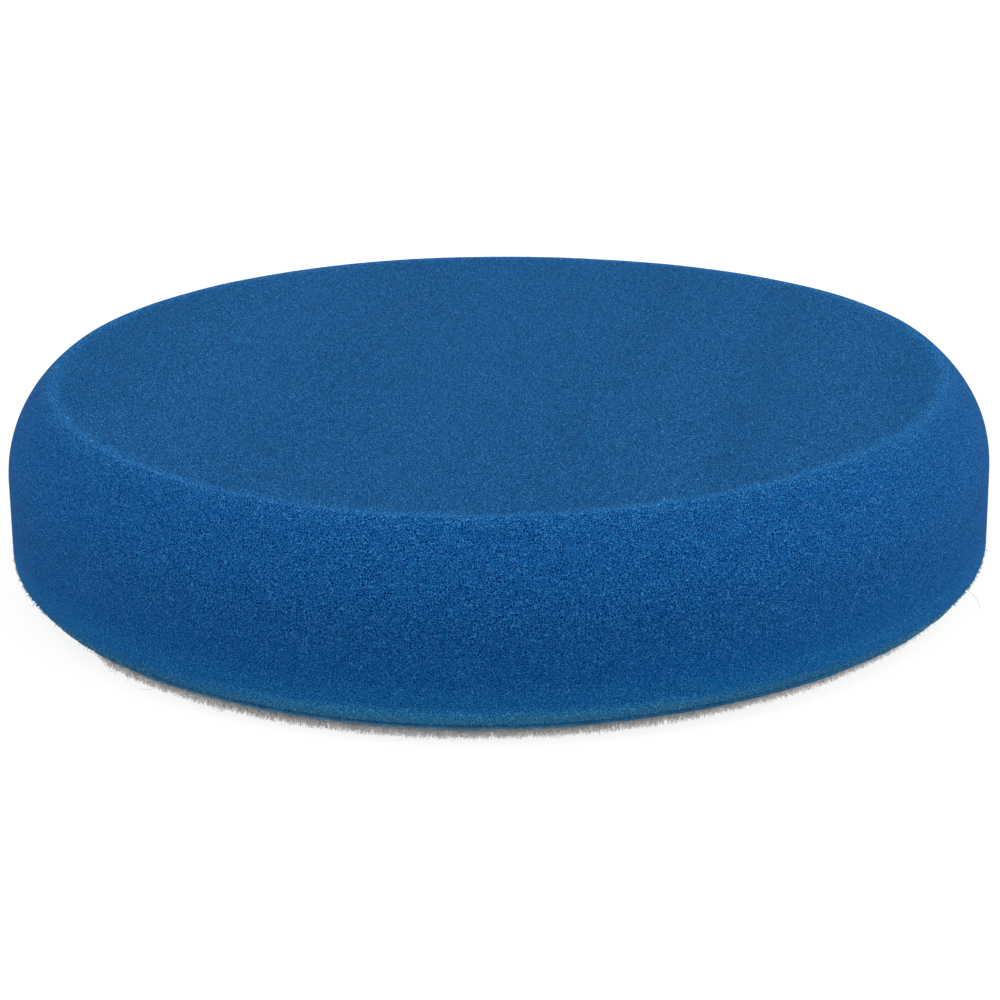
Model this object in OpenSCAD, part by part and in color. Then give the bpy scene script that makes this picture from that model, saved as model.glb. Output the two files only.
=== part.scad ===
/* [Pad] */
// Diameter of the foam where it is widest
pad_d = 150; // [125:1:200]
// Height of the whole pad, from the tips of the loops to the working face
pad_h = 30; // [25:1:50]

/* [Foam] */
// Radius of the rounded shoulder between the working face and the side
shoulder_r = 17.5; // [10:0.5:18]
// Slope of the shoulder where it meets the working face, in degrees below level
crease_angle = 38.6; // [30:0.1:60]
// Radius of the rounded lower edge
lower_edge_r = 2.2; // [2:0.1:4]
// How far the foot of the rounded lower edge stands in from the side
foot_inset = 1.2; // [0.5:0.1:1.2]
// Height of the pinched neck where the foam is bonded down
neck_h = 0.4; // [0.1:0.1:0.8]
// How far the pinched neck stands in from the side
neck_inset = 1.5; // [1.3:0.1:4]

/* [Bond] */
// Thickness of the layer of hot-melt adhesive and melted foam skin
bond_t = 0.7; // [0.2:0.1:0.8]
// How far the bond layer's edge stands in from the foam's side
bond_inset = 1.6; // [0:0.1:3]

/* [Velour] */
// Thickness of the knitted ground cloth
ground_t = 0.5; // [0.3:0.1:0.8]
// Height of the loops, from the ground cloth to their tips
loop_h = 1.4; // [0.8:0.1:2.5]
// How far the velour's cut edge stands in from the foam's side
velour_inset = 3.1; // [1.6:0.1:15]

/* [Hidden] */
$fn = 180;

pad_r = pad_d / 2;

// Heights of the layers, stacked up from the tips of the loops
ground_z = loop_h;
bond_z = ground_z + ground_t;
foam_z = bond_z + bond_t;
foot_z = foam_z + neck_h;

// Centre of the shoulder's arc: the arc is upright at the side and is cut off by the
// working face where its slope is crease_angle, which leaves a crease all round
shoulder_x = pad_r - shoulder_r;
shoulder_z = pad_h - shoulder_r * cos(crease_angle);

// Centre of the lower edge's arc, which is upright at the side and ends at the foot
lower_x = pad_r - lower_edge_r;
lower_z = foot_z + sqrt(pow(lower_edge_r, 2) - pow(lower_edge_r - foot_inset, 2));

// A round flat layer of the pad, from height z up
module layer(r, z, t) {
    translate([0, 0, z]) cylinder(r = r, h = t);
}

// Half of the foam's section above its neck: face, crease, shoulder, side and lower edge
module foam_section() {
    intersection() {
        translate([0, foot_z]) square([pad_r, pad_h - foot_z]);
        union() {
            square([shoulder_x, pad_h]);
            translate([shoulder_x, shoulder_z]) circle(r = shoulder_r);
            translate([0, lower_z]) square([pad_r, shoulder_z - lower_z]);
            translate([lower_x, lower_z]) circle(r = lower_edge_r);
            square([lower_x, lower_z]);
        }
    }
}

// The contour-cut disc of open-cell polyurethane foam
module foam_disc() {
    color([0.125, 0.345, 0.56]) {
        rotate_extrude() foam_section();
        layer(pad_r - neck_inset, foam_z, neck_h);
    }
}

// Hot-melt adhesive fused with the foam's melted skin
module bond_layer() {
    color([0.16, 0.36, 0.49]) layer(pad_r - bond_inset, bond_z, bond_t);
}

// Knitted cloth that the loops stand on
module velour_ground() {
    color([0.78, 0.78, 0.77]) layer(pad_r - velour_inset, ground_z, ground_t);
}

// Space that the standing loops fill; a hook-faced plate grips them from below
module velour_loops() {
    color([0.79, 0.785, 0.78]) layer(pad_r - velour_inset, 0, loop_h);
}

foam_disc();
bond_layer();
velour_ground();
velour_loops();
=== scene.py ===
"""A round foam polishing pad: foam disc, bond layer, knitted ground cloth and loop pile."""
import math

import bpy
import numpy as np
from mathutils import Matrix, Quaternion, Vector, noise


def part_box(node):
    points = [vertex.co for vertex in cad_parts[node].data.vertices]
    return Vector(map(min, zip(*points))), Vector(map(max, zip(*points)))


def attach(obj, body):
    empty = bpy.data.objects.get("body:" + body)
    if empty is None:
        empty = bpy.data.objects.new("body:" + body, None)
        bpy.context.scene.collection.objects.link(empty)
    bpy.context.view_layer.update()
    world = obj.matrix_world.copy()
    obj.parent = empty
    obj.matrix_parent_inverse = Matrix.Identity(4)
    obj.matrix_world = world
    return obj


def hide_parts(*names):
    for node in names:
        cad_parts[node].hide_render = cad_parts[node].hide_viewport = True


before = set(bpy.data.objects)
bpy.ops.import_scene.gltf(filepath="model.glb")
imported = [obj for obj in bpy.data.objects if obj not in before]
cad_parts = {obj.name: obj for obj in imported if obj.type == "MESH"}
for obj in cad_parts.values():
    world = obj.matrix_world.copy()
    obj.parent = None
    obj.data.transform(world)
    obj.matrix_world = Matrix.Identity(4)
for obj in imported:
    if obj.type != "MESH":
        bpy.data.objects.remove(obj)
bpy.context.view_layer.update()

# ---------------------------------------------------------------- sizes, in metres

MM = 0.001

foam_low, foam_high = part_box("foam_disc")
bond_low, bond_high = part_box("bond_layer")
ground_low, ground_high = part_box("velour_ground")

# The foam, as the CAD model has it
PAD_R = foam_high.x
FACE_Z = foam_high.z
FOAM_Z = foam_low.z
SHOULDER_R = 17.5 * MM
CREASE_ANGLE = math.radians(38.6)
LOWER_EDGE_R = 2.2 * MM
FOOT_INSET = 1.2 * MM
NECK_H = 0.4 * MM
NECK_INSET = 1.5 * MM
CREASE_R = PAD_R - SHOULDER_R * (1 - math.sin(CREASE_ANGLE))
FOOT_Z = FOAM_Z + NECK_H
LOWER_EDGE_RISE = math.sqrt(LOWER_EDGE_R ** 2 - (LOWER_EDGE_R - FOOT_INSET) ** 2)

BOND_R = bond_high.x
BOND_Z = bond_low.z
GROUND_R = ground_high.x
GROUND_Z = ground_low.z

# The laminated velour pulls the pad into a slight bow, up at its left and right
BOW_LEFT = 0.53 * MM
BOW_RIGHT = 0.82 * MM
BOW_AXIS = math.radians(-11.5)

# The velour was laid a little off centre, towards the front left
VELOUR_X = -0.6 * MM
VELOUR_Y = -0.35 * MM

# Its edge is cut short over part of the left side
TRIM = 1.3 * MM
TRIM_MIDDLE = math.radians(-172)
TRIM_HALF = math.radians(30)
TRIM_BLEND = math.radians(3)

# Distance between a mesh's points: on the foam's skin, round its pinched neck, at the cut
# edges of bond and cloth, under the cloth, and where nothing shows
SKIN_SPACING = 0.6 * MM
NECK_SPACING = 0.3 * MM
BOND_SPACING = 0.28 * MM
CLOTH_SPACING = 0.3 * MM
UNDER_SPACING = 0.9 * MM
HIDDEN_SPACING = 4.0 * MM

# How near in height counts as the same level
LEVEL = 0.01 * MM

# The foam's cells, how rough and uneven they leave its skin, and the struts cut through
# along its lower edge, which stand between two angles above level
CELL = 0.365 * MM
ROUGH_CELL = 0.9 * MM
ROUGH = 0.012 * MM
UNEVEN = 0.06 * MM
UNEVEN_SIZE = 12 * MM
STRUTS = 9000
STRUT_LOWEST = -1.1
STRUT_HIGHEST = -0.3
STRUT_DEPTH = 0.15 * MM

# Velour: wales and courses of the knit, the yarn and filaments of the pile, and how far
# the field's loops stay in from the edge
WALE = 1.05 * MM
COURSE = 0.82 * MM
YARN_R = 0.085 * MM
FIELD_MARGIN = 0.6 * MM
FIELD_PIECES = 4
RIM_PIECES = 3
RIM_LOOPS = 6000
RIM_FIBRES = 7000
FIBRE_R = 0.022 * MM
STRAY_R = 0.03 * MM

# The loose filament at the front right, from its foot to its tip
STRAY_FOOT = np.array([69.1, -22.8]) * MM
STRAY_TIP = np.array([71.6, -26.8]) * MM
STRAY_Z = 1.75 * MM
STRAY_DROP = 2.4 * MM


# ---------------------------------------------------------------- camera

def make_camera():
    """Low over the front of the pad, with a long lens and a slight roll."""
    elevation = math.radians(19.27)
    tilt = math.radians(-0.58)
    distance = 0.449
    aim = Vector((0.0001, 0.0, 0.0086))
    data = bpy.data.cameras.new("camera")
    data.lens = 103.74
    data.sensor_width = 36.0
    data.clip_start = 0.01
    camera = bpy.data.objects.new("camera", data)
    bpy.context.scene.collection.objects.link(camera)
    back = Vector((0.0, -math.cos(elevation), math.sin(elevation)))
    roll = Quaternion((0.0, 0.0, 1.0), tilt)
    camera.location = aim + back * distance
    camera.rotation_mode = "QUATERNION"
    camera.rotation_quaternion = (-back).to_track_quat("-Z", "Y") @ roll
    bpy.context.scene.camera = camera


# ---------------------------------------------------------------- mesh helpers

def bowed(points):
    """The points with the pad's slight bow, which lifts the two sides."""
    points = np.array(points, float)
    along = points[:, 0] * math.cos(BOW_AXIS) + points[:, 1] * math.sin(BOW_AXIS)
    bow = np.where(along < 0, BOW_LEFT, BOW_RIGHT)
    points[:, 2] += bow * np.sin(0.5 * math.pi * along / PAD_R) ** 2
    return points


def laid(points):
    """The velour's points, moved off centre as it was laid, and bowed with the pad."""
    return bowed(points + np.array([VELOUR_X, VELOUR_Y, 0.0]))


def new_piece(name, points, faces, material, stands_for):
    """A smooth mesh that rides on the pad's one body and stands for a CAD node."""
    mesh = bpy.data.meshes.new(name)
    mesh.from_pydata(points.tolist(), [], faces)
    mesh.polygons.foreach_set("use_smooth", [True] * len(mesh.polygons))
    mesh.materials.append(material)
    piece = bpy.data.objects.new(name, mesh)
    bpy.context.scene.collection.objects.link(piece)
    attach(piece, "root")
    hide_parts(stands_for)
    return piece


def arc(centre, radius, start, end, count):
    """Points (r, z) along an arc, with its angles measured up from outward."""
    angles = np.linspace(start, end, count)
    return [(centre[0] + radius * math.cos(a), centre[1] + radius * math.sin(a)) for a in angles]


def spaced_rings(outline, spacing_at):
    """Rings (r, z, spacing) along an outline of (r, z) points from top middle to bottom middle."""
    points = np.array(outline, float)
    steps = np.linalg.norm(np.diff(points, axis=0), axis=1)
    along = np.concatenate([[0.0], np.cumsum(steps)])
    rings = []
    s = 0.0
    while s < along[-1]:
        r = float(np.interp(s, along, points[:, 0]))
        z = float(np.interp(s, along, points[:, 1]))
        gap = spacing_at(r, z)
        rings.append((r, z, gap))
        s += gap * 0.87
    # The last ring may be as small as a point, and the middle point takes its place
    if rings[-1][0] < rings[-1][2] * 0.5:
        rings.pop()
    rings.append((0.0, float(points[-1, 1]), rings[-1][2]))
    return rings


def revolve(rings, rng, jitter):
    """A closed skin of triangles through the rings, with its points shuffled along each ring."""
    table = []
    starts = []
    counts = []
    for k, (r, z, gap) in enumerate(rings):
        count = 1 if r < gap * 0.5 else max(6, round(2 * math.pi * r / gap))
        starts.append(len(table))
        counts.append(count)
        for i in range(count):
            loose = jitter * gap / r if count > 1 else 0.0
            table.append((2 * math.pi * (i + 0.5 * (k % 2)) / count, r, z, loose))
    angle, r, z, loose = np.array(table).T
    angle = angle + rng.uniform(-1, 1, len(angle)) * loose
    points = np.stack([r * np.cos(angle), r * np.sin(angle), z], axis=1)
    faces = []
    for k in range(len(rings) - 1):
        a, n = starts[k], counts[k]
        b, m = starts[k + 1], counts[k + 1]
        if n == 1:
            faces += [(a, b + j, b + (j + 1) % m) for j in range(m)]
        elif m == 1:
            faces += [(a + i, b, a + (i + 1) % n) for i in range(n)]
        else:
            faces += stitched(a, n, 0.5 * (k % 2), b, m, 0.5 * ((k + 1) % 2))
    return points, faces


def stitched(a, n, a_shift, b, m, b_shift):
    """Triangles between a ring of n points from index a and one of m points from index b."""
    faces = []
    i = j = 0
    while i < n or j < m:
        if j < m and (i == n or (j + 1 + b_shift) / m <= (i + 1 + a_shift) / n):
            faces.append((a + i % n, b + j, b + (j + 1) % m))
            j += 1
        else:
            faces.append((a + i, b + j % m, a + (i + 1) % n))
            i += 1
    return faces


def normals_of(points, faces):
    """A unit normal at each point of a triangle mesh."""
    corners = points[np.array(faces)]
    across = np.cross(corners[:, 1] - corners[:, 0], corners[:, 2] - corners[:, 0])
    normals = np.zeros_like(points)
    for k in range(3):
        np.add.at(normals, np.array(faces)[:, k], across)
    return normals / np.maximum(np.linalg.norm(normals, axis=1, keepdims=True), 1e-20)


def waves(points, size, seed):
    """Smooth noise from about -1 to 1 at each point, with features of that size."""
    shift = Vector((seed * 17.3, seed * 5.9, seed * 11.1))
    return np.array([noise.noise(Vector(p) / size + shift) for p in points])


def tubes(paths, radius, rng, sides=3):
    """Closed thin tubes along paths, an array of strands by points by x, y and z."""
    strands, steps = paths.shape[:2]
    along = np.gradient(paths, axis=1)
    along /= np.maximum(np.linalg.norm(along, axis=2, keepdims=True), 1e-12)
    across = np.cross(along, rng.normal(size=(strands, 1, 3)))
    across /= np.maximum(np.linalg.norm(across, axis=2, keepdims=True), 1e-12)
    third = np.cross(along, across)
    turn = np.arange(sides) * 2 * math.pi / sides
    ring = (np.cos(turn)[None, None, :, None] * across[:, :, None]
            + np.sin(turn)[None, None, :, None] * third[:, :, None])
    points = (paths[:, :, None] + np.reshape(radius, (-1, 1, 1, 1)) * ring).reshape(-1, 3)
    first = (np.arange(strands) * steps * sides)[:, None, None]
    step = (np.arange(steps - 1) * sides)[None, :, None]
    side = np.arange(sides)[None, None, :]
    after = (side + 1) % sides
    walls = np.stack([first + step + side, first + step + after,
                      first + step + sides + after, first + step + sides + side], axis=-1)
    faces = walls.reshape(-1, 4).tolist()
    ends = np.arange(sides)
    faces += (first[:, 0] + ends[::-1]).tolist()
    faces += (first[:, 0] + (steps - 1) * sides + ends).tolist()
    return points, faces


def new_pile(name, paths, radius, rng, material):
    """Strands of the velour's pile as one piece, which lies as the velour does."""
    points, faces = tubes(paths, radius, rng)
    return new_piece(name, laid(points), faces, material, "velour_loops")


# ---------------------------------------------------------------- materials

# Colours of the foam, darkest first: painted shade in the pores, the struts, painted glints on strut
# tips, a painted highlight on the crease and painted glints on the face
PORE_SHADE_COLOUR = (0.0001, 0.0165, 0.085)
STRUT_COLOUR = (0.0015, 0.0545, 0.192)
TIP_GLINT_COLOUR = (0.0390, 0.155, 0.345)
CREASE_HIGHLIGHT_COLOUR = (0.0450, 0.180, 0.375)
FACE_GLINT_COLOUR = (0.0310, 0.220, 0.515)

# Light grazing the foam's open cells comes back greenish
GRAZING_TINT = (0.235, 0.92, 0.455, 1.0)

# Cut struts, which are thin and let the light through
CUT_STRUT_DARK = (0.026, 0.14, 0.26)
CUT_STRUT_LIGHT = (0.075, 0.235, 0.355)

# Adhesive, from the foam's neck down to the cloth, with painted shade at its top under the foam and
# painted light at its bottom
BOND_SHADED_TOP = (0.009, 0.084, 0.185)
BOND_LIT_BOTTOM = (0.060, 0.150, 0.235)

# Polyester: the cloth's hollows, darkened as painted shade, and ribs, and the yarn with its fine
# filaments
CLOTH_HOLLOW_SHADE = (0.62, 0.62, 0.615)
CLOTH_RIB = (0.72, 0.72, 0.715)
YARN_DARK = (0.56, 0.555, 0.55)
YARN_LIGHT = (0.64, 0.635, 0.63)
FILAMENT = (0.50, 0.495, 0.49)


class Surface:
    """A Principled material with short ways to add textures in the row frame."""

    def __init__(self, name, roughness, specular=0.02, sheen=0.0):
        self.material = bpy.data.materials.new(name)
        self.material.use_nodes = True
        self.tree = self.material.node_tree
        self.shader = self.tree.nodes["Principled BSDF"]
        self.shader.inputs["Roughness"].default_value = roughness
        self.shader.inputs["Specular IOR Level"].default_value = specular
        self.shader.inputs["Sheen Weight"].default_value = sheen
        self.place = self.tree.nodes.new("ShaderNodeTexCoord").outputs["Object"]

    def link(self, source, target):
        """Join a node's output to another node's input."""
        self.tree.links.new(source, target)

    def cells(self, size):
        """How far from a cell's wall, and a chance value from 0 to 1 that each cell has."""
        edge = self.tree.nodes.new("ShaderNodeTexVoronoi")
        edge.feature = "DISTANCE_TO_EDGE"
        cell = self.tree.nodes.new("ShaderNodeTexVoronoi")
        for node in (edge, cell):
            node.inputs["Scale"].default_value = 1 / size
            self.link(self.place, node.inputs["Vector"])
        apart = self.tree.nodes.new("ShaderNodeSeparateColor")
        self.link(cell.outputs["Color"], apart.inputs[0])
        return edge.outputs["Distance"], apart.outputs[0]

    def noise(self, size, detail=2.0):
        """Smooth noise from 0 to 1 with features of that size."""
        node = self.tree.nodes.new("ShaderNodeTexNoise")
        node.inputs["Scale"].default_value = 1 / size
        node.inputs["Detail"].default_value = detail
        self.link(self.place, node.inputs["Vector"])
        return node.outputs["Fac"]

    def ramp(self, source, low, high, to_low=0.0, to_high=1.0):
        """A smooth step: to_low where the source is at low, to_high where it is at high."""
        node = self.tree.nodes.new("ShaderNodeMapRange")
        node.interpolation_type = "SMOOTHSTEP"
        node.inputs["From Min"].default_value = low
        node.inputs["From Max"].default_value = high
        node.inputs["To Min"].default_value = to_low
        node.inputs["To Max"].default_value = to_high
        self.link(source, node.inputs["Value"])
        return node.outputs["Result"]

    def maths(self, operation, first, second):
        """One operation on two values, each a number or a socket."""
        node = self.tree.nodes.new("ShaderNodeMath")
        node.operation = operation
        for value, socket in zip((first, second), node.inputs):
            if isinstance(value, float):
                socket.default_value = value
            else:
                self.link(value, socket)
        return node.outputs[0]

    def mix(self, factor, first, second, blend="MIX"):
        """The first colour mixed with the second. The factor and the colours may be sockets."""
        node = self.tree.nodes.new("ShaderNodeMix")
        node.data_type = "RGBA"
        node.blend_type = blend
        sockets = (node.inputs[0], node.inputs[6], node.inputs[7])
        for value, socket in zip((factor, first, second), sockets):
            if isinstance(value, float):
                socket.default_value = value
            elif isinstance(value, tuple):
                socket.default_value = (*value, 1.0)
            else:
                self.link(value, socket)
        return node.outputs[2]

    def scaled(self, colour, red, green, blue):
        """The colour with its channels multiplied, each by a number or a socket."""
        node = self.tree.nodes.new("ShaderNodeCombineXYZ")
        for value, socket in zip((red, green, blue), node.inputs):
            if isinstance(value, float):
                socket.default_value = value
            else:
                self.link(value, socket)
        return self.mix(1.0, colour, node.outputs[0], "MULTIPLY")

    def coordinate(self, axis):
        """The place along one axis, in metres."""
        node = self.tree.nodes.new("ShaderNodeSeparateXYZ")
        self.link(self.place, node.inputs[0])
        return node.outputs[axis]

    def from_axis(self):
        """Distance from the pad's axis."""
        flat = self.tree.nodes.new("ShaderNodeVectorMath")
        flat.operation = "MULTIPLY"
        flat.inputs[1].default_value = (1.0, 1.0, 0.0)
        self.link(self.place, flat.inputs[0])
        length = self.tree.nodes.new("ShaderNodeVectorMath")
        length.operation = "LENGTH"
        self.link(flat.outputs["Vector"], length.inputs[0])
        return length.outputs["Value"]

    def colour(self, source):
        """Use the source as the surface's colour."""
        self.link(source, self.shader.inputs["Base Color"])

    def bump(self, height, distance, strength=1.0):
        """Raise the surface by that distance where height is 1."""
        node = self.tree.nodes.new("ShaderNodeBump")
        node.inputs["Distance"].default_value = distance
        node.inputs["Strength"].default_value = strength
        self.link(height, node.inputs["Height"])
        self.link(node.outputs["Normal"], self.shader.inputs["Normal"])


def foam_material():
    """Open cells: painted shade in each pore between lighter struts, and painted glints along the struts.
    """
    s = Surface("open_cell_foam", roughness=0.95, specular=0.02, sheen=0.0135)
    s.shader.inputs["Sheen Tint"].default_value = GRAZING_TINT
    edge, chance = s.cells(CELL)
    radius = s.from_axis()
    z = s.coordinate("Z")

    # Cells, less marked low down, with painted shade in each pore as dark as chance makes it
    marked = s.ramp(z, 3 * MM, 19 * MM, 0.58, 1.0)
    pore_shade = s.maths("MULTIPLY", s.ramp(edge, 0.09, 0.21), s.ramp(chance, 0.0, 1.0, 0.35, 1.0))
    pore_shade = s.maths("MULTIPLY", pore_shade, marked)
    tint = s.mix(pore_shade, STRUT_COLOUR, PORE_SHADE_COLOUR)

    # Painted glints: short bright stretches of strut, in longer ones on the working face
    strut = s.maths("MULTIPLY", s.ramp(edge, 0.10, 0.03), marked)
    tips = s.maths("MULTIPLY", strut, s.ramp(s.noise(0.15 * MM, 0.0), 0.48, 0.62))
    tint = s.mix(tips, tint, TIP_GLINT_COLOUR)
    face = s.ramp(radius, CREASE_R + 0.3 * MM, CREASE_R - 0.3 * MM)
    face_glints = s.maths("MULTIPLY", strut, s.ramp(s.noise(0.25 * MM, 0.0), 0.48, 0.62))
    tint = s.mix(s.maths("MULTIPLY", face, face_glints), tint, FACE_GLINT_COLOUR)

    # Painted shade darkens the face against the side, lifting towards the crease, and the crease between
    # them carries a painted highlight and painted glints
    face_shade = s.ramp(radius, CREASE_R + 0.2 * MM, CREASE_R - 3.2 * MM, 1.0, 0.735)
    tint = s.scaled(tint, face_shade, face_shade, face_shade)
    off_crease = s.maths("ABSOLUTE", s.maths("SUBTRACT", radius, CREASE_R), 0.0)
    crease = s.ramp(off_crease, 0.2 * MM, 1.4 * MM, 1.03, 1.0)
    tint = s.scaled(tint, crease, crease, crease)
    crease_glints = s.maths("MULTIPLY", s.ramp(off_crease, 2.2 * MM, 0.3 * MM), tips)
    tint = s.mix(crease_glints, tint, CREASE_HIGHLIGHT_COLOUR)

    # Painted shade darkens the side towards the velour, then painted light from the pale floor brightens
    # and tints the lowest band, most of all at the front
    # Painted shade down the side
    low = s.ramp(z, 24 * MM, 15 * MM, 1.0, 0.915)
    tint = s.scaled(tint, low, low, low)
    # Painted light from the pale floor below
    thin = s.ramp(z, 9.5 * MM, 6.5 * MM)
    tint = s.mix(thin, tint, s.scaled(tint, 1.38, 1.2, 1.07))
    # More painted light from the floor in front, strongest at the front
    toward_front = s.ramp(s.coordinate("Y"), -53 * MM, -76 * MM, 0.2, 1.0)
    front_underlight = s.maths("MULTIPLY", toward_front, s.ramp(z, 6.0 * MM, 4.3 * MM))
    tint = s.mix(front_underlight, tint, s.scaled(tint, 3.2, 1.66, 1.2))
    s.colour(tint)
    s.bump(s.maths("SUBTRACT", 1.0, pore_shade), 0.10 * MM, 0.8)
    return s.material


def strut_material():
    """Thin cut struts, paler than the foam because the light comes through them."""
    s = Surface("cut_strut", roughness=0.9, specular=0.02)
    s.colour(s.mix(s.ramp(s.noise(0.5 * MM), 0.35, 0.65), CUT_STRUT_DARK, CUT_STRUT_LIGHT))
    s.bump(s.noise(0.05 * MM), 0.01 * MM)
    return s.material


def bond_material():
    """Adhesive in the foam's last cells: they show through it, smeared and greyed, with painted shade in
    each pore and painted shade at the top turning to painted light at the bottom.
    """
    s = Surface("hot_melt_bond", roughness=0.7, specular=0.08)
    edge, chance = s.cells(CELL)
    pore_shade = s.maths("MULTIPLY", s.ramp(edge, 0.08, 0.24), s.ramp(chance, 0.0, 0.8, 0.2, 1.0))
    smear = s.ramp(s.noise(0.9 * MM, 3.0), 0.3, 0.7, 0.85, 1.15)
    # Painted shade at the top, under the foam's overhang, turning to painted light at the bottom
    down = s.ramp(s.coordinate("Z"), FOAM_Z - 0.1 * MM, BOND_Z)
    tint = s.mix(down, BOND_SHADED_TOP, BOND_LIT_BOTTOM)
    tint = s.scaled(tint, smear, smear, smear)
    s.colour(s.mix(pore_shade, tint, s.scaled(tint, 0.4, 0.55, 0.6)))
    s.bump(s.maths("SUBTRACT", 1.0, pore_shade), 0.06 * MM, 0.7)
    return s.material


def cloth_material():
    """Knitted polyester: wales along Y, crossed by the courses, with painted shade in the hollows."""
    s = Surface("knitted_ground", roughness=0.9, specular=0.1, sheen=0.1)
    x = s.maths("MULTIPLY", s.coordinate("X"), 2 * math.pi / WALE)
    y = s.maths("MULTIPLY", s.coordinate("Y"), 2 * math.pi / COURSE)
    knit = s.maths("MULTIPLY", s.maths("COSINE", x, 0.0), s.maths("SINE", y, 0.0))
    knit = s.ramp(knit, -1.0, 1.0)
    s.colour(s.mix(knit, CLOTH_HOLLOW_SHADE, CLOTH_RIB))
    s.bump(knit, 0.12 * MM)
    return s.material


def yarn_material():
    """Crimped white polyester yarn with fine filaments."""
    s = Surface("loop_yarn", roughness=0.85, specular=0.15, sheen=0.2)
    tone = s.ramp(s.noise(1.6 * MM, 3.0), 0.3, 0.7)
    tint = s.mix(tone, YARN_DARK, YARN_LIGHT)
    s.colour(s.mix(s.ramp(s.noise(0.12 * MM), 0.4, 0.6, 0.0, 0.5), tint, FILAMENT))
    s.bump(s.noise(0.06 * MM), 0.02 * MM)
    return s.material


# ---------------------------------------------------------------- foam disc

def foam_outline():
    """Half of the foam's section, from the middle of its face to the middle of its underside."""
    shoulder = (PAD_R - SHOULDER_R, FACE_Z - SHOULDER_R * math.cos(CREASE_ANGLE))
    lower = (PAD_R - LOWER_EDGE_R, FOOT_Z + LOWER_EDGE_RISE)
    neck_r = PAD_R - NECK_INSET
    return [(0.0, FACE_Z),
            *arc(shoulder, SHOULDER_R, math.pi / 2 - CREASE_ANGLE, 0.0, 40),
            *arc(lower, LOWER_EDGE_R, 0.0, -math.asin(LOWER_EDGE_RISE / LOWER_EDGE_R), 12),
            (neck_r, FOOT_Z), (neck_r, FOAM_Z), (0.0, FOAM_Z)]


def foam_spacing(r, z):
    """Even over the skin, finer round the pinched neck and coarse where the bond hides it."""
    if z < FOAM_Z + LEVEL:
        return min(HIDDEN_SPACING, NECK_SPACING + (PAD_R - NECK_INSET - r) * 0.5)
    if z < FOOT_Z + 0.1 * MM:
        return NECK_SPACING
    return SKIN_SPACING


def make_foam(material):
    """The foam's skin, roughened by its cells and uneven as the cutting wire left it."""
    rng = np.random.default_rng(11)
    points, faces = revolve(spaced_rings(foam_outline(), foam_spacing), rng, 0.25)
    normals = normals_of(points, faces)
    skin = points[:, 2] > FOAM_Z + LEVEL
    to_middle = np.array([noise.voronoi(Vector(p) / ROUGH_CELL)[0][0] for p in points])
    usual = 0.45
    rough = ROUGH * np.clip((to_middle - usual) / usual, -1, 1)
    uneven = UNEVEN * waves(points, UNEVEN_SIZE, 1)
    points = points + normals * (skin * (rough + uneven))[:, None]
    foam = new_piece("foam_disc_skin", bowed(points), faces, material, "foam_disc")


def make_struts(material):
    """Cut struts that stand out along the foam's lower edge and make its outline ragged."""
    rng = np.random.default_rng(18)
    fall = rng.uniform(STRUT_LOWEST, STRUT_HIGHEST, STRUTS)
    angle = rng.uniform(0, 2 * math.pi, STRUTS)
    out = np.stack([np.cos(angle) * np.cos(fall), np.sin(angle) * np.cos(fall), np.sin(fall)], axis=1)
    middle = (PAD_R - LOWER_EDGE_R) * np.stack([np.cos(angle), np.sin(angle), 0 * angle], axis=1)
    middle[:, 2] = FOOT_Z + LOWER_EDGE_RISE
    feet = middle + out * (LOWER_EDGE_R - STRUT_DEPTH)
    reach = out * rng.uniform(0.15, 0.45, (STRUTS, 1)) * MM + rng.normal(0, 0.12 * MM, (STRUTS, 3))
    paths = feet[:, None] + reach[:, None] * np.array([0.0, 0.6, 1.0])[None, :, None]
    radius = rng.uniform(0.02, 0.05, STRUTS) * MM
    points, faces = tubes(paths, radius, rng)
    new_piece("foam_cut_struts", bowed(points), faces, material, "foam_disc")


# ---------------------------------------------------------------- bond layer

def disc_outline(radius, low, high, rounding):
    """Half of a flat disc's section, with its edge rounded."""
    return [(0.0, high), (radius - rounding, high), (radius, high - rounding),
            (radius, low + rounding), (radius - rounding, low), (0.0, low)]


def growing(fine, coarse, inside, slope):
    """Spacing that is fine at the rim and grows with how far inside it is."""
    return min(coarse, fine + max(0.0, inside) * slope)


def push_edge(points, radius, band, push):
    """Move the points of a flat disc's edge outwards by push, and less towards the inside of the band."""
    distance = np.hypot(points[:, 0], points[:, 1])
    at_edge = np.clip((distance - (radius - band)) / band, 0, 1)
    points[:, :2] *= (1 + at_edge * push / np.maximum(distance, 1 * MM))[:, None]


def make_bond():
    """The bond layer, whose edge has crept out unevenly as it was pressed."""
    rng = np.random.default_rng(12)
    outline = disc_outline(BOND_R, BOND_Z, FOAM_Z, 0.1 * MM)

    def spacing(r, z):
        return growing(BOND_SPACING, HIDDEN_SPACING, BOND_R - BOND_SPACING - r, 0.35)

    points, faces = revolve(spaced_rings(outline, spacing), rng, 0.2)
    creep = 0.16 * MM * waves(points, 7 * MM, 2) + 0.16 * MM * waves(points, 0.9 * MM, 3)
    push_edge(points, BOND_R, 1.5 * MM, creep)
    new_piece("bond_layer_lip", bowed(points), faces, bond_material(), "bond_layer")


# ---------------------------------------------------------------- velour

def edge_radius(angle):
    """The velour's radius in each direction."""
    off = np.abs((angle - TRIM_MIDDLE + math.pi) % (2 * math.pi) - math.pi)
    return GROUND_R - TRIM * 0.5 * (1 + np.tanh((TRIM_HALF - off) / TRIM_BLEND))


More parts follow.
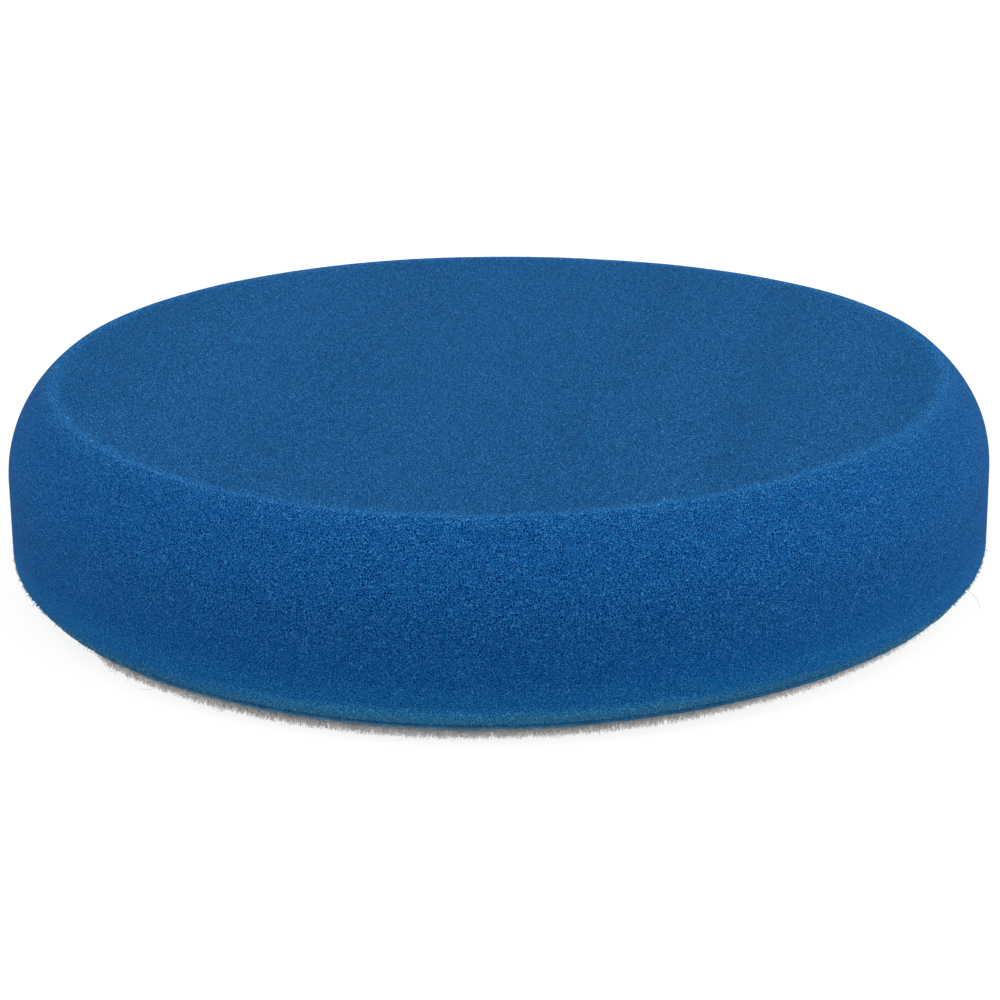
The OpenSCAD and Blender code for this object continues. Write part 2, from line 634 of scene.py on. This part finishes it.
def make_ground(material):
    """The ground cloth, frayed at its cut edge and ribbed by its wales underneath."""
    rng = np.random.default_rng(13)
    outline = disc_outline(GROUND_R, GROUND_Z, BOND_Z, 0.12 * MM)

    def spacing(r, z):
        if z > BOND_Z - LEVEL:
            return growing(CLOTH_SPACING, HIDDEN_SPACING, GROUND_R - r, 0.35)
        return growing(CLOTH_SPACING, UNDER_SPACING, GROUND_R - 0.5 * MM - r, 0.3)

    points, faces = revolve(spaced_rings(outline, spacing), rng, 0.2)
    fray = 0.10 * MM * waves(points, 5 * MM, 4) + 0.14 * MM * waves(points, 0.7 * MM, 5)
    push_edge(points, GROUND_R, 1.2 * MM, fray)
    points[:, :2] *= (edge_radius(np.arctan2(points[:, 1], points[:, 0])) / GROUND_R)[:, None]
    under = points[:, 2] < GROUND_Z + 0.05 * MM
    knit = np.cos(points[:, 0] * 2 * math.pi / (2 * WALE))
    points[:, 2] -= under * 0.04 * MM * (1 + knit)
    return new_piece("velour_ground_cloth", laid(points), faces, material, "velour_ground")


def loop_paths(feet, heading, width, height, lean, top):
    """Paths of loops that hang from feet (x, y): out along heading, down to the tip and back up."""
    t = np.linspace(0, 1, 6)
    bulge = np.sin(math.pi * t) ** 0.7
    across = np.stack([np.cos(heading), np.sin(heading)], axis=1)
    spread = (t - 0.5) + 0.18 * np.sin(2 * math.pi * t)
    paths = np.zeros((len(feet), len(t), 3))
    paths[:, :, :2] = (feet[:, None] + across[:, None] * (width[:, None] * spread)[:, :, None]
                       + lean[:, None] * (bulge ** 1.5)[None, :, None])
    paths[:, :, 2] = np.reshape(top, (-1, 1)) - height[:, None] * bulge
    return paths


def make_field(material):
    """Loops over the whole underside, in wales along Y, in a few pieces."""
    rng = np.random.default_rng(14)
    reach = GROUND_R - FIELD_MARGIN
    across = np.arange(-reach, reach, WALE)
    along = np.arange(-reach, reach, COURSE)
    x, y = np.meshgrid(across, along)
    y = y + 0.5 * COURSE * (np.arange(len(across)) % 2)
    feet = np.stack([x.ravel(), y.ravel()], axis=1)
    feet += rng.normal(0, 0.12 * MM, feet.shape)
    room = edge_radius(np.arctan2(feet[:, 1], feet[:, 0])) - FIELD_MARGIN
    feet = feet[np.hypot(feet[:, 0], feet[:, 1]) < room]
    count = len(feet)
    heading = math.pi / 2 + rng.normal(0, 0.6, count)
    width = rng.uniform(0.55, 0.95, count) * MM
    height = rng.uniform(0.95, 1.27, count) * MM
    lean = rng.normal(0, 0.38 * MM, (count, 2))
    paths = loop_paths(feet, heading, width, height, lean, GROUND_Z + 0.05 * MM)
    radius = YARN_R * rng.uniform(0.8, 1.15, count)
    pieces = []
    for k, part in enumerate(np.array_split(np.arange(count), FIELD_PIECES)):
        name = f"velour_loops_field_{k + 1}"
        pieces.append(new_pile(name, paths[part], radius[part], rng, material))
    return pieces


def rim_feet(rng, count, depth):
    """Random feet within that depth of the velour's edge, with their outward directions and angles."""
    angle = rng.uniform(0, 2 * math.pi, count)
    distance = edge_radius(angle) - rng.uniform(0.05, 1, count) ** 1.5 * depth
    out = np.stack([np.cos(angle), np.sin(angle)], axis=1)
    return out * distance[:, None], out, angle


def make_rim(material):
    """Finer loops cut through at the edge: they splay outwards, downwards and over the cloth."""
    rng = np.random.default_rng(15)
    pieces = []
    for k in range(RIM_PIECES):
        feet, out, angle = rim_feet(rng, RIM_LOOPS, 1.4 * MM)
        side = np.stack([-out[:, 1], out[:, 0]], axis=1)
        heading = angle + math.pi / 2 + rng.normal(0, 0.9, RIM_LOOPS)
        width = rng.uniform(0.3, 0.9, RIM_LOOPS) * MM
        top = rng.uniform(1.25, 1.75, RIM_LOOPS) * MM
        height = top - rng.uniform(0.15, 1, RIM_LOOPS) ** 1.6 * 1.1 * MM
        lean = (out * rng.uniform(0.0, 0.5, (RIM_LOOPS, 1)) * MM
                + side * rng.normal(0, 0.35 * MM, (RIM_LOOPS, 1)))
        paths = loop_paths(feet, heading, width, height, lean, top)
        radius = YARN_R * rng.uniform(0.25, 0.55, RIM_LOOPS)
        pieces.append(new_pile(f"velour_loops_rim_{k + 1}", paths, radius, rng, material))
    return pieces


def make_fibres(material):
    """Single filaments that have pulled out of the yarn round the edge."""
    rng = np.random.default_rng(16)
    feet, out, _ = rim_feet(rng, RIM_FIBRES, 1.0 * MM)
    side = np.stack([-out[:, 1], out[:, 0]], axis=1)
    t = np.linspace(0, 1, 5)
    length = rng.gamma(3.0, 0.2, RIM_FIBRES) * MM
    outward = out * rng.uniform(0.1, 0.8, (RIM_FIBRES, 1))
    sideways = side * rng.normal(0, 0.6, (RIM_FIBRES, 1))
    curl = side * rng.normal(0, 0.35, (RIM_FIBRES, 1))
    drop = rng.uniform(0.1, 1.0, RIM_FIBRES)
    paths = np.zeros((RIM_FIBRES, len(t), 3))
    paths[:, :, :2] = feet[:, None] + length[:, None, None] * (
        (outward + sideways)[:, None] * t[None, :, None] + curl[:, None] * (t ** 2)[None, :, None])
    start = rng.uniform(0.3, 1.5, RIM_FIBRES) * MM
    paths[:, :, 2] = start[:, None] - (length * drop)[:, None] * t ** 1.3
    paths[:, :, 2] = np.maximum(paths[:, :, 2], 0.05 * MM)
    return new_pile("velour_fibres", paths, FIBRE_R, rng, material)


def make_stray(material):
    """One long filament that has come loose at the front right."""
    t = np.linspace(0, 1, 14)
    span = STRAY_TIP - STRAY_FOOT
    path = np.zeros((1, len(t), 3))
    path[0, :, 0] = STRAY_FOOT[0] + span[0] * np.sin(t * math.pi / 2)
    path[0, :, 1] = STRAY_FOOT[1] + span[1] * t
    path[0, :, 2] = STRAY_Z - STRAY_DROP * t ** 1.3
    rng = np.random.default_rng(17)
    return new_pile("velour_stray_filament", path, STRAY_R, rng, material)


# ---------------------------------------------------------------- stage

def floor_material():
    """A light table: the ground glows, so the pad's shadow stays faint."""
    s = Surface("pale_floor", roughness=0.9, specular=0.0)
    s.colour(s.mix(s.noise(0.6), (0.20, 0.20, 0.20), (0.21, 0.21, 0.21)))
    s.shader.inputs["Emission Color"].default_value = (1.0, 1.0, 1.0, 1.0)
    s.shader.inputs["Emission Strength"].default_value = 0.80
    return s.material


def make_floor():
    """A wide pale floor, a hair below the tips of the loops."""
    mesh = bpy.data.meshes.new("floor")
    reach = 6.0
    corners = [(-reach, -reach, 0), (reach, -reach, 0), (reach, reach, 0), (-reach, reach, 0)]
    mesh.from_pydata(corners, [], [(0, 1, 2, 3)])
    mesh.materials.append(floor_material())
    floor = bpy.data.objects.new("floor", mesh)
    floor.location.z = -0.02 * MM
    bpy.context.scene.collection.objects.link(floor)


def make_sun(name, energy, direction):
    """A very soft sun that shines along that direction."""
    data = bpy.data.lights.new(name, "SUN")
    data.energy = energy
    data.angle = math.radians(70)
    light = bpy.data.objects.new(name, data)
    light.rotation_mode = "QUATERNION"
    light.rotation_quaternion = Vector(direction).to_track_quat("-Z", "Y")
    bpy.context.scene.collection.objects.link(light)


def make_light():
    """A white studio with a key light from the right and a weaker fill from the left."""
    world = bpy.data.worlds.new("studio")
    world.use_nodes = True
    background = world.node_tree.nodes["Background"]
    background.inputs["Color"].default_value = (1, 1, 1, 1)
    background.inputs["Strength"].default_value = 1.01
    bpy.context.scene.world = world
    make_sun("key", 2.48, (-1.55, 0.19, -1.0))
    make_sun("fill", 1.52, (1.35, 0.19, -1.0))
    bpy.context.scene.view_settings.view_transform = "Standard"


make_camera()
make_foam(foam_material())
make_struts(strut_material())
make_bond()
ground = make_ground(cloth_material())
yarn = yarn_material()
pile = [*make_field(yarn), *make_rim(yarn), make_fibres(yarn), make_stray(yarn)]
make_floor()
make_light()
